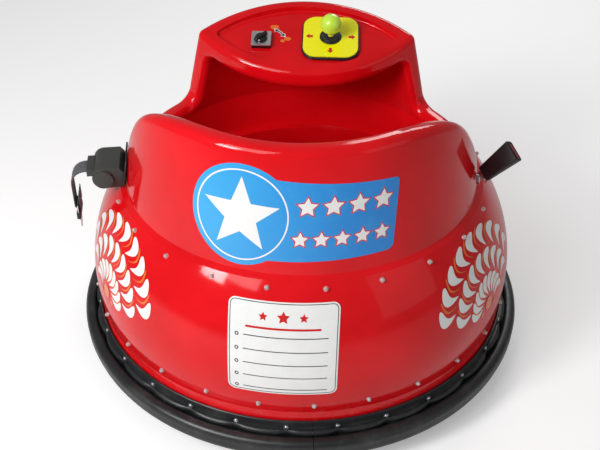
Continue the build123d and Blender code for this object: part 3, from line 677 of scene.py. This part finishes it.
def blueFilmMaterial():
    material, tree, shader = shaderOf("blueFilm")
    place = placeIn(tree)
    # painted shade: the blue darkens from left to right across the sticker
    across = between(tree, axesOf(tree, place)["X"], 0.0, 1.0, *sticker["paintedShadeSpan"])
    faded = ramp(tree, noise(tree, place, 26, 5, 0.6), 0.50, 1.0)
    colour = blendColours(tree, faded, blendColours(tree, across, *sticker["litAndShadedBlues"]), sticker["faded"])
    tree.links.new(colour, shader.inputs["Base Color"])
    tree.links.new(between(tree, noise(tree, place, 80, 5), 0.16, 0.28), shader.inputs["Roughness"])
    shader.inputs["Coat Weight"].default_value = 0.35
    bump(tree, shader, noise(tree, place, 500, 2), 0.04, 0.0002)
    return material


def stickerPieces():
    s = sticker
    place = s["place"]
    blueFilm = ("red_shell", blueFilmMaterial())
    stick("seat_back_sticker", [stickerOutline()], blueFilm, onDrum, place, *s["sheet"])
    marks = [ringPoints(0, 0, radius, 72) for radius in s["ring"]] + [starPoints(0, 0, *s["star"])]
    edges = []
    wider, inner = s["outline"]
    for v, count, size, first, pitch in s["rows"]:
        for k in range(count):
            marks.append(starPoints(first + k * pitch, v, size))
            edges.append(starPoints(first + k * pitch, v, size + wider, inner))
    stick("sticker_star_edges", edges, redFilm, onDrum, place, *s["edging"])
    stick("sticker_white_marks", marks, whiteFilm, onDrum, place, *s["print"])


stickerPieces()
print("blue sticker")


plate = {
    "place": (-2.25, 0.3025),  # bearing and height of the middle
    "size": (0.221, 0.205),
    "corner": 0.015,
    "border": (0.0030, 0.0016),
    "rule": (0.046, 0.0045, 0.150),
    "bullets": (-0.092, 0.030, 0.030, 5),  # left, top, pitch and number
    "bulletRing": (0.0042, 0.0020),
    "lines": (-0.079, 0.090, 0.0020),  # ends and thickness of the rules beside the bullets
    "roundEnd": 0.45,
    "stars": ((0.0, 0.0135), (-0.040, 0.0095), (0.040, 0.0095)),
    "starHeight": 0.0715,
    "sheet": (0.0003, 0.0006),  # lift from the shell and thickness
    "print": (0.0009, 0.00012),
    "borderCell": 0.012,
}


def plateOutline(inset):
    wide, tall = plate["size"][0] / 2 - inset, plate["size"][1] / 2 - inset
    return roundedOutline(-wide, -tall, wide, tall, plate["corner"] - inset)


def platePieces():
    p = plate
    place = p["place"]
    stick("skirt_plate", [plateOutline(0)], whiteFilm, onDome, place, *p["sheet"])
    inset, thick = p["border"]
    marks = [plateOutline(inset), plateOutline(inset + thick)]
    left, top, pitch, count = p["bullets"]
    start, end, thick = p["lines"]
    for k in range(count):
        marks += [ringPoints(left, top - k * pitch, radius, 24) for radius in p["bulletRing"]]
        low = top - k * pitch - thick / 2
        marks.append(roundedOutline(start, low, end, low + thick, thick * p["roundEnd"], 3))
    stick("plate_border", marks, darkFilm, onDome, place, *p["print"], p["borderCell"])
    height, thick, long = p["rule"]
    reds = [roundedOutline(-long / 2, height, long / 2, height + thick, thick * p["roundEnd"])]
    reds += [starPoints(x, p["starHeight"], radius) for x, radius in p["stars"]]
    stick("plate_rule", reds, redFilm, onDome, place, *p["print"])


platePieces()
print("skirt plate")


sideFilm = {
    "bearing": 58.5,
    "height": 0.335,
    "middle": (0.0, -0.088),  # of all the fans
    # each fan's first angle and sweep, its inner and outer reach and the width of a leaf
    "fans": ((10, 160, 0.028, 0.074, 0.024), (16, 148, 0.079, 0.128, 0.030), (22, 136, 0.133, 0.180, 0.037)),
    "leaves": 9,
    "cuts": 18,
    "slim": 0.20,  # width of the orange leaves between the white ones, as a share
    "curl": 0.50,
    "fullness": 0.7,
    "shoulder": 0.72,  # where along a leaf its tip begins to round
    "drops": ((0.0, -0.084, 0.015), (-0.030, -0.098, 0.006), (0.030, -0.098, 0.006)),
    "lifts": (0.0003, 0.0007),  # of the white leaves and of the orange ones
    "thick": 0.00025,
    "cell": 0.012,
}


def leafPoints(angle, near, far, width, curl):
    f = sideFilm
    middle = Vector(f["middle"])
    along = Vector((cos(angle), sin(angle)))
    aside = Vector((-sin(angle), cos(angle)))
    left, right = [], []
    for k in range(1, f["cuts"]):
        share = 1 - (1 - k / f["cuts"]) ** 2
        half = width / 2 * share ** f["fullness"]
        if share > f["shoulder"]:
            half *= sqrt(1 - ((share - f["shoulder"]) / (1 - f["shoulder"])) ** 2)
        spot = middle + along * (near + (far - near) * share) + aside * (curl * width * sin(pi * share))
        left.append(tuple(spot + aside * half))
        right.append(tuple(spot - aside * half))
    return left + [tuple(middle + along * far)] + right[::-1] + [tuple(middle + along * near)]


def fanLeaves(shift, count, share):
    f = sideFilm
    leaves = []
    for first, sweep, near, far, width in f["fans"]:
        for k in range(count):
            angle = radians(first + sweep * (k + shift) / (f["leaves"] - 1))
            leaves.append(leafPoints(angle, near, far, width * share, f["curl"] / share))
    return leaves


def sideFilmPieces():
    f = sideFilm
    whites = fanLeaves(0, f["leaves"], 1.0)
    oranges = fanLeaves(0.5, f["leaves"] - 1, f["slim"])
    oranges += [ringPoints(x, y, radius, 28) for x, y, radius in f["drops"]]
    for side, sign in (("left", -1), ("right", 1)):
        for name, outlines, lift, film in (("side_film", whites, f["lifts"][0], whiteFilm),
                                           ("side_film_accents", oranges, f["lifts"][1], orangeFilm)):
            if sign < 0:
                outlines = [[(-x, y) for x, y in reversed(outline)] for outline in outlines]
            place = (sign * f["bearing"], f["height"])
            stick(f"{name}_{side}", outlines, film, onDome, place, lift, f["thick"], f["cell"])


sideFilmPieces()
print("side films")


def trayFilm(name, outlines, film, place, lift, thick, lean=0):
    piece = flatShape(name, outlines, 0)
    modify(piece, "SOLIDIFY", thickness=thick, offset=1.0)
    move(piece, trayMatrix(*place, lift) @ turned(lean))
    finishPiece(settle(piece, name, 30), *film)


joystick = {
    "place": (0.0575, 0.233),
    "facing": 0.0105,  # height of the yellow facing over the tray
    "film": (0.0001, 0.0003),  # gap under the arrows and their thickness
    "arrowReach": (0.0500, 0.0450),  # of the side arrows, of the fore and aft ones
    "arrow": (0.0160, 0.0150, 0.0068),  # length, width of the head, width of the tail
    "bootLift": 0.0080,
    "bootFoot": (0.0255, 0.0030),
    "bootFolds": 2,
    "fold": (0.0028, 0.0018, -0.0011, 5),  # step inward, rise, bow and cuts of a fold
    "valley": (0.0016, 0.0002, 0.0006, 3),
    "bootTop": ((0.0085, 0.0006), (0.0080, 0.0016), (0, 0.0016)),
}


def arrowPoints(reach, angle, size):
    long, head, tail = size
    shape = [(reach + long / 2, 0), (reach, head / 2), (reach, tail / 2), (reach - long / 2, tail / 2),
             (reach - long / 2, -tail / 2), (reach, -tail / 2), (reach, -head / 2)]
    return [(x * cos(angle) - y * sin(angle), x * sin(angle) + y * cos(angle)) for x, y in shape]


def bootProfile():
    j = joystick
    radius, height = j["bootFoot"]
    profile = [(0, 0), (radius, 0), (radius, height)]
    for inward, rise, bow, steps in (j["fold"], j["valley"]) * j["bootFolds"]:
        profile += arcPoints((radius, height), (radius - inward, height + rise), bow, steps)
        radius -= inward
        height += rise
    return profile + [(reach, height + rise) for reach, rise in j["bootTop"]]


def joystickPieces():
    j = joystick
    shapes = [arrowPoints(j["arrowReach"][k % 2], radians(90 * k), j["arrow"]) for k in range(4)]
    gap, thick = j["film"]
    trayFilm("joystick_arrows", shapes, redFilm, j["place"], j["facing"] + gap, thick)
    boot = turnedPiece("joystick_bellows", bootProfile(), 56, 40)
    move(boot, trayMatrix(*j["place"], j["bootLift"]))
    finishPiece(boot, "black_plastic", replaced=["joystick_boot"])


joystickPieces()
print("joystick")


tray = {
    "arrowPlace": (-0.0635, 0.251),
    "arrowLean": -42.0,
    "arrow": (0.0165, 0.0075, 0.0105, 0.0032),  # half length, head's length and width, tail's width
    "edge": (0.0197, 0.01006, 0.01434, 0.0064),  # the same of its white edge
    "bow": 0.0018,
    "spots": (((-0.0770, 0.2680), 0.0100), ((-0.0450, 0.2330), 0.0085), ((-0.0560, 0.2260), 0.0055)),
    "spotShape": (0.10, 0.80, 0.12),
    "spotCuts": 28,
    # lift and thickness of the arrow's edge, of the arrow and of a spot
    "films": ((0.0001, 0.0002), (0.0003, 0.0001), (0.0001, 0.0001)),
}


def doubleArrow(half, long, wide, tail):
    inner = half - long
    bow = tray["bow"]
    upper = arcPoints((-inner, tail / 2), (inner, tail / 2), bow, 8)
    lower = arcPoints((inner, -tail / 2), (-inner, -tail / 2), -bow, 8)
    return ([(-half, 0), (-inner, wide / 2), (-inner, tail / 2)] + upper
            + [(inner, wide / 2), (half, 0), (inner, -wide / 2), (inner, -tail / 2)] + lower
            + [(-inner, -wide / 2)])


def spotOutline(radius, k):
    wave, flat, dent = tray["spotShape"]
    turns = [2 * pi * n / tray["spotCuts"] for n in range(tray["spotCuts"])]
    return [(radius * (1 + wave * sin(3 * t + k)) * cos(t), radius * (flat + dent * cos(2 * t + k)) * sin(t))
            for t in turns]


def trayMarks():
    t = tray
    edge, arrow, spot = t["films"]
    for name, film, shape, layer in (("switch_arrow_edge", whiteFilm, t["edge"], edge),
                                     ("switch_arrow", darkFilm, t["arrow"], arrow)):
        trayFilm(name, [doubleArrow(*shape)], film, t["arrowPlace"], *layer, t["arrowLean"])
    for k, (place, radius) in enumerate(t["spots"]):
        trayFilm(f"tray_spot_{k + 1}", [spotOutline(radius, k)], orangeFilm, place, *spot)


trayMarks()
print("tray marks")


switch = {
    "place": (-0.106, 0.223),
    "baseHeight": 0.009,
    "face": (0.046, 0.0020, 0.0028),  # side, thickness and corner
    "faceEdge": 0.0005,
    "turn": 40.0,
    "collar": ((0, 0), (0.0150, 0), (0.0150, 0.0016), (0.0140, 0.0030), (0.0136, 0.0046), (0.0122, 0.0058),
               (0.0070, 0.0064), (0, 0.0064)),
    "grip": (0.0370, 0.0100, 0.0152),
    "gripLean": 0.30,
    "gripTop": (0.90, 0.62),  # what remains of length and width at the top
    "gripEnds": (1.35, 0.75),  # width of the tail and of the nose
    "gripEdge": 0.0026,
}


def switchGrip():
    s = switch
    long, wide, tall = s["grip"]
    grip = block("grip", (long, wide, tall), upward(tall / 2))
    for vertex in grip.data.vertices:
        along = vertex.co.x / (long / 2)
        vertex.co.y *= s["gripEnds"][0] if along < 0 else s["gripEnds"][1]
        if vertex.co.z > tall / 2:
            vertex.co.z = tall * (1 - s["gripLean"] * (0.5 - along / 2))
            vertex.co.x *= s["gripTop"][0]
            vertex.co.y *= s["gripTop"][1]
    modify(grip, "BEVEL", width=s["gripEdge"], segments=5, limit_method="ANGLE")
    return grip


def switchPieces():
    s = switch
    side, thick, corner = s["face"]
    knob = joined([turnedPiece("collar", s["collar"], 56, 30), switchGrip()], "switch_cam_knob")
    move(knob, trayMatrix(*s["place"], s["baseHeight"] + thick) @ turned(s["turn"]))
    finishPiece(settle(knob, "switch_cam_knob", 40), "switch_black", replaced=["switch_knob"])
    face = flatShape("switch_facing", [roundedOutline(-side / 2, -side / 2, side / 2, side / 2, corner)], 0)
    modify(face, "SOLIDIFY", thickness=thick, offset=1.0)
    modify(face, "BEVEL", width=s["faceEdge"], segments=3, limit_method="ANGLE")
    move(face, trayMatrix(*s["place"], s["baseHeight"]))
    finishPiece(settle(face, "switch_facing", 40), "switch_face", replaced=["switch_plate"])


switchPieces()
print("switch")


def softened(cadName, edge):
    source = nodes[cadName]
    name = cadName + "_finished"
    twin = bpy.data.objects.new(name, source.data.copy())
    bpy.context.scene.collection.objects.link(twin)
    twin.data.transform(source.matrix_world)
    pick(twin)
    bpy.ops.object.mode_set(mode="EDIT")
    weld(0.00002)
    bpy.ops.mesh.dissolve_limited(angle_limit=radians(1.0))
    bpy.ops.object.mode_set(mode="OBJECT")
    modify(twin, "BEVEL", width=edge, segments=3, limit_method="ANGLE", angle_limit=radians(35))
    finishPiece(settle(twin, name, 40), slotOf[cadName], replaced=[cadName])


belt = {
    "bearing": -80.5,
    "start": (0.4706, 0.463),
    "bend": (0.484, 0.034),  # where the bend begins and its radius
    "foldTop": 0.373,
    "fold": 0.006,
    "tail": 0.030,
    "width": 0.0458,
    "thick": 0.0021,
    "edge": 0.0005,
    "cells": (150, 14),
    "ribs": (3, 0.0002),  # number of ribs along the strap and their height
    "sideDrop": 0.0003,
    "weave": (150.0, 26.0),  # cords along and across the whole strap
    "cords": ((0.020, 0.023, 0.026), (0.075, 0.084, 0.092)),
    "worn": (0.12, 0.13, 0.14),
    "edges": {"belt_reel": 0.0030, "belt_bracket": 0.0008, "tongue_plate": 0.0006, "tongue_boot": 0.0016,
              "buckle_anchor": 0.0008, "buckle_body": 0.0022, "buckle_button": 0.0012},
}


def webbingMaterial():
    b = belt
    material, tree, shader = shaderOf("webbingWeave")
    axes = axesOf(tree, placeIn(tree, source="UV"))
    waves = [maths(tree, "SINE", maths(tree, "MULTIPLY", axes[way], count * 2 * pi))
             for way, count in zip("XY", b["weave"])]
    height = between(tree, maths(tree, "MULTIPLY", *waves), 0.0, 1.0, -1.0, 1.0)
    worn = ramp(tree, noise(tree, placeIn(tree), 45, 6, 0.65), 0.50, 0.78)
    colour = blendColours(tree, worn, blendColours(tree, height, *b["cords"]), b["worn"])
    tree.links.new(colour, shader.inputs["Base Color"])
    setInputs(shader, {"Roughness": 0.72, "Sheen Weight": 0.25})
    bump(tree, shader, height, 0.6, 0.0005)
    return material


def straightRun(start, end):
    start, end = Vector(start), Vector(end)
    way = (end - start).normalized()
    return (end - start).length, lambda share: (start + (end - start) * share, Vector((-way.y, way.x)))


def roundRun(centre, radius, first, last):
    def at(share):
        t = radians(first + (last - first) * share)
        away = Vector((cos(t), sin(t)))
        return Vector(centre) + away * radius, away

    return radius * radians(abs(last - first)), at


def strapRoute(steps):
    b = belt
    bendAt, bendRadius = b["bend"]
    high, low, fold = b["start"][1], b["foldTop"], b["fold"]
    outside = bendAt + bendRadius
    inside = outside - 2 * fold
    runs = [straightRun(b["start"], (bendAt, high)),
            roundRun((bendAt, high - bendRadius), bendRadius, 90, 0),
            straightRun((outside, high - bendRadius), (outside, low)),
            roundRun((outside - fold, low), fold, 0, -180),
            straightRun((inside, low), (inside, low + b["tail"]))]
    total = sum(length for length, at in runs)
    route = []
    for k in range(steps + 1):
        left = total * k / steps
        for length, at in runs:
            if left <= length + 1e-9:
                break
            left -= length
        route.append(at(min(1.0, left / length)))
    return route


def strapPiece():
    b = belt
    along, across = b["cells"]
    deselect()
    bpy.ops.mesh.primitive_grid_add(x_subdivisions=along, y_subdivisions=across, size=1, calc_uvs=True)
    strap = bpy.context.object
    route = strapRoute(along)
    out = outward(b["bearing"])
    side = upward(1).cross(out)
    ribs, ribHeight = b["ribs"]
    for vertex in strap.data.vertices:
        x, y, _ = vertex.co
        spot, normal = route[round((x + 0.5) * along)]
        lift = ribHeight * cos(2 * pi * y * ribs) - b["sideDrop"] * abs(2 * y) ** 6
        spot = spot + normal * lift
        vertex.co = out * spot.x + side * (y * b["width"]) + upward(spot.y)
    strap.data.update()
    modify(strap, "SOLIDIFY", thickness=b["thick"], offset=0.0)
    modify(strap, "BEVEL", width=b["edge"], segments=2, limit_method="ANGLE", angle_limit=radians(60))
    finishPiece(settle(strap, "belt_webbing", 50), "webbing", webbingMaterial(), replaced=["belt_strap"])


for cadName, edge in belt["edges"].items():
    softened(cadName, edge)
strapPiece()
print("lap belt")


wheel = {
    "x": 0.372,
    "axle": 0.100,
    "half": 0.028,
    # radius and inset of the sidewall, from the rim outward
    "sidewall": ((0.072, 0), (0.080, 0), (0.081, 0.0008), (0.0865, 0.0008), (0.0875, 0), (0.0905, 0.0006),
                 (0.0955, 0.0035)),
    "treadRadius": 0.0999,
    "depth": 0.0030,
    "topMargin": 0.0002,
    "slope": 0.0004,
    "ribs": ((0.0175, 0.0075), (0.0055, -0.0055), (-0.0075, -0.0175)),
    "rowEdge": 0.006,  # between the middle row of blocks and the outer ones
    "rowShift": (3, 0, 3),
    "pitches": 40,
    "stepsPerPitch": 6,
    "bolts": (5, 36, 0.0160, 0.0250),  # number, first angle, circle and height on the hub
    "bolt": (0.0042, 0.0034),
}
tyreLook = rubberMaterial("treadRubber", (0.022, 0.022, 0.023), (0.10, 0.094, 0.086), (0.6, 0.88), 900.0)


def tyreProfile():
    w = wheel
    top = w["treadRadius"]
    low = top - w["depth"]
    profile = [(radius, w["half"] - inset) for radius, inset in w["sidewall"]]
    for first, last in w["ribs"]:
        profile += [(low, first + w["slope"]), (top, first), (top, last), (low, last - w["slope"])]
    profile += [(radius, inset - w["half"]) for radius, inset in reversed(w["sidewall"])]
    return profile + [profile[0]]


def wheelMatrix(sign, angle):
    return Matrix.Translation((sign * wheel["x"], 0, wheel["axle"])) @ turned(angle, "Y")


def tyrePiece(side, sign):
    w = wheel
    name = f"tread_tyre_{side}"
    count = w["pitches"] * w["stepsPerPitch"]
    tyre = turnedPiece(name, tyreProfile(), count, 30)
    for vertex in tyre.data.vertices:
        x, y, z = vertex.co
        radius = hypot(x, y)
        if radius > w["treadRadius"] - w["topMargin"]:
            row = 0 if z > w["rowEdge"] else 1 if z > -w["rowEdge"] else 2
            step = round((atan2(y, x) / (2 * pi) % 1) * count) + w["rowShift"][row]
            if step % w["stepsPerPitch"] in (0, 1):
                shrink = (w["treadRadius"] - w["depth"]) / radius
                vertex.co = (x * shrink, y * shrink, z)
    move(tyre, wheelMatrix(sign, 90))
    finishPiece(settle(tyre, name, 30), "drive_tyre", tyreLook, f"wheel_{side}", [f"tyre_{side}"])


underside = {
    "motor": (0.257, 0.104, 0.038),  # x, z and radius
    "motorSpan": (-0.213, -0.0505),  # y of both ends
    "motorBoss": (0.012, 0.004),
    "motorRim": ((0.010, 0.004), (0.008, 0.0015), (0.006, 0.0005), (0.0035, 0.0005), (0.0005, 0.0035)),
    "bands": (-0.185, -0.075),
    # distance along the motor and inset of a band's corners
    "bandShape": ((-0.0030, 0.0005), (-0.0018, 0.0018), (0.0018, 0.0018), (0.0030, 0.0005)),
    "bolts": (4, 45, 0.0198, 0.0040),  # number, first angle, circle and height on the end
    "bolt": (0.0040, 0.0030),
    "boltShape": (0.12, 1.35, 0.22),  # shares of its radius: edge, washer's radius and thickness
}


def hexBolt(radius, height):
    edge, wide, thick = [radius * share for share in underside["boltShape"]]
    deselect()
    bpy.ops.mesh.primitive_cylinder_add(vertices=6, radius=radius, depth=height, location=upward(height / 2))
    head = settle(bpy.context.object, "hexHead", 0)
    modify(head, "BEVEL", width=edge, segments=2, limit_method="ANGLE")
    washer = turnedPiece("washer", [(0, 0), (wide, 0), (wide, thick), (0, thick)], 28)
    return joined([head, washer], "bolt")


def boltPlaces(count, first, circle, height, turn=0):
    angles = [radians(first + 360 * k / count) for k in range(count)]
    spots = [(circle * cos(t), circle * sin(t), height) for t in angles]
    return [Matrix.Translation(spot) @ turned(turn, "X") for spot in spots]


def motorPieces(side, sign):
    u = underside
    name = f"motor_can_{side}"
    x, z, radius = u["motor"]
    rear, front = u["motorSpan"]
    boss, step = u["motorBoss"]
    profile = [(0, 0), (boss, 0), (boss, step)]
    profile += [(radius - inset, height) for inset, height in u["motorRim"]]
    for place in u["bands"]:
        profile += [(radius - inset, place - rear + height) for height, inset in u["bandShape"]]
    profile += [(radius - u["motorRim"][-1][0], front - rear), (0, front - rear)]
    can = turnedPiece(name, profile, 64, 30)
    bolts = repeated(hexBolt(*u["bolt"]), boltPlaces(*u["bolts"], 180), "bolts")
    whole = joined([can, bolts], name)
    move(whole, Matrix.Translation((sign * x, rear, z)) @ turned(-90, "X"))
    finishPiece(settle(whole, name, 30), "motor_paint", replaced=[f"motor_{side}"])


def wheelBolts(side, sign):
    name = f"hub_bolts_{side}"
    ring = repeated(hexBolt(*wheel["bolt"]), boltPlaces(*wheel["bolts"]), name)
    move(ring, wheelMatrix(sign, 90 * sign))
    finishPiece(settle(ring, name, 30), "zinc_steel", body=f"wheel_{side}")


# rounding of the edges of plain castings and mouldings
plainEdges = {"gearbox_left": 0.0030, "gearbox_right": 0.0030, "joystick_base": 0.0014, "switch_base": 0.0008}
for side, sign in (("left", -1), ("right", 1)):
    tyrePiece(side, sign)
    motorPieces(side, sign)
    wheelBolts(side, sign)
for cadName, edge in plainEdges.items():
    softened(cadName, edge)
print("underside")


studio = {
    "floorColour": (0.84, 0.84, 0.84, 1),
    "floorSize": 14.0,
    "floorGlow": 0.30,  # added where the camera sees the floor directly
    "world": 0.26,
    "aim": 0.35,  # height that the lamps point at
}
studioLamps = {
    "windowKey": {"at": (-1.55, -1.55, 1.75), "size": (0.55, 0.80), "power": 30},
    "softKey": {"at": (-1.5, -2.0, 2.6), "size": (1.7, 1.7), "power": 42},
    "rear": {"at": (1.0, 2.6, 2.2), "size": (1.6, 0.9), "power": 24},
    "fill": {"at": (2.6, -1.8, 1.4), "size": (1.8, 1.8), "power": 4},
}
cameraView = {
    "lens": 54.0,
    "sensor": 36.0,
    "near": 0.05,
    "azimuth": 2.0,
    "elevation": 36.7,
    "roll": 0.49,
    "distance": 2.170,
    "target": (-0.003, 0.0, 0.258),
}


def studioFloor():
    deselect()
    bpy.ops.mesh.primitive_grid_add(x_subdivisions=4, y_subdivisions=4, size=studio["floorSize"])
    floor = settle(bpy.context.object, "floor", 0)
    material, tree, shader = shaderOf("paleFloor")
    setInputs(shader, {"Base Color": studio["floorColour"], "Roughness": 0.9, "Specular IOR Level": 0.1,
                       "Emission Color": (1, 1, 1, 1)})
    rays = node(tree, "ShaderNodeLightPath")
    glow = maths(tree, "MULTIPLY", rays.outputs["Is Camera Ray"], studio["floorGlow"])
    tree.links.new(glow, shader.inputs["Emission Strength"])
    floor.data.materials.append(material)


def studioLight(name, settings):
    data = bpy.data.lights.new(name, "AREA")
    data.shape = "RECTANGLE"
    data.size, data.size_y = settings["size"]
    data.energy = settings["power"]
    light = bpy.data.objects.new(name, data)
    bpy.context.scene.collection.objects.link(light)
    light.location = settings["at"]
    aim = upward(studio["aim"]) - light.location
    light.rotation_euler = aim.to_track_quat("-Z", "Y").to_euler()


def studioWorld():
    world = bpy.data.worlds.new("studio")
    bpy.context.scene.world = world
    world.use_nodes = True
    tree = world.node_tree
    background = tree.nodes["Background"]
    setInputs(background, {"Color": (1, 1, 1, 1), "Strength": studio["world"]})
    white = node(tree, "ShaderNodeBackground", Color=(1, 1, 1, 1), Strength=1.0)
    rays = node(tree, "ShaderNodeLightPath")
    mixed = node(tree, "ShaderNodeMixShader")
    tree.links.new(rays.outputs["Is Camera Ray"], mixed.inputs[0])
    tree.links.new(background.outputs[0], mixed.inputs[1])
    tree.links.new(white.outputs[0], mixed.inputs[2])
    tree.links.new(mixed.outputs[0], tree.nodes["World Output"].inputs["Surface"])


def studioCamera():
    c = cameraView
    data = bpy.data.cameras.new("camera")
    data.lens = c["lens"]
    data.sensor_width = c["sensor"]
    data.clip_start = c["near"]
    camera = bpy.data.objects.new("camera", data)
    bpy.context.scene.collection.objects.link(camera)
    rise = radians(c["elevation"])
    back = outward(c["azimuth"]) * cos(rise) + upward(sin(rise))
    camera.location = Vector(c["target"]) + back * c["distance"]
    look = (-back).to_track_quat("-Z", "Y").to_matrix().to_4x4() @ turned(c["roll"])
    camera.rotation_euler = look.to_euler()
    bpy.context.scene.camera = camera


studioFloor()
for name, settings in studioLamps.items():
    studioLight(name, settings)
studioWorld()
studioCamera()
bpy.context.scene.view_settings.view_transform = "Standard"
print("studio ready")
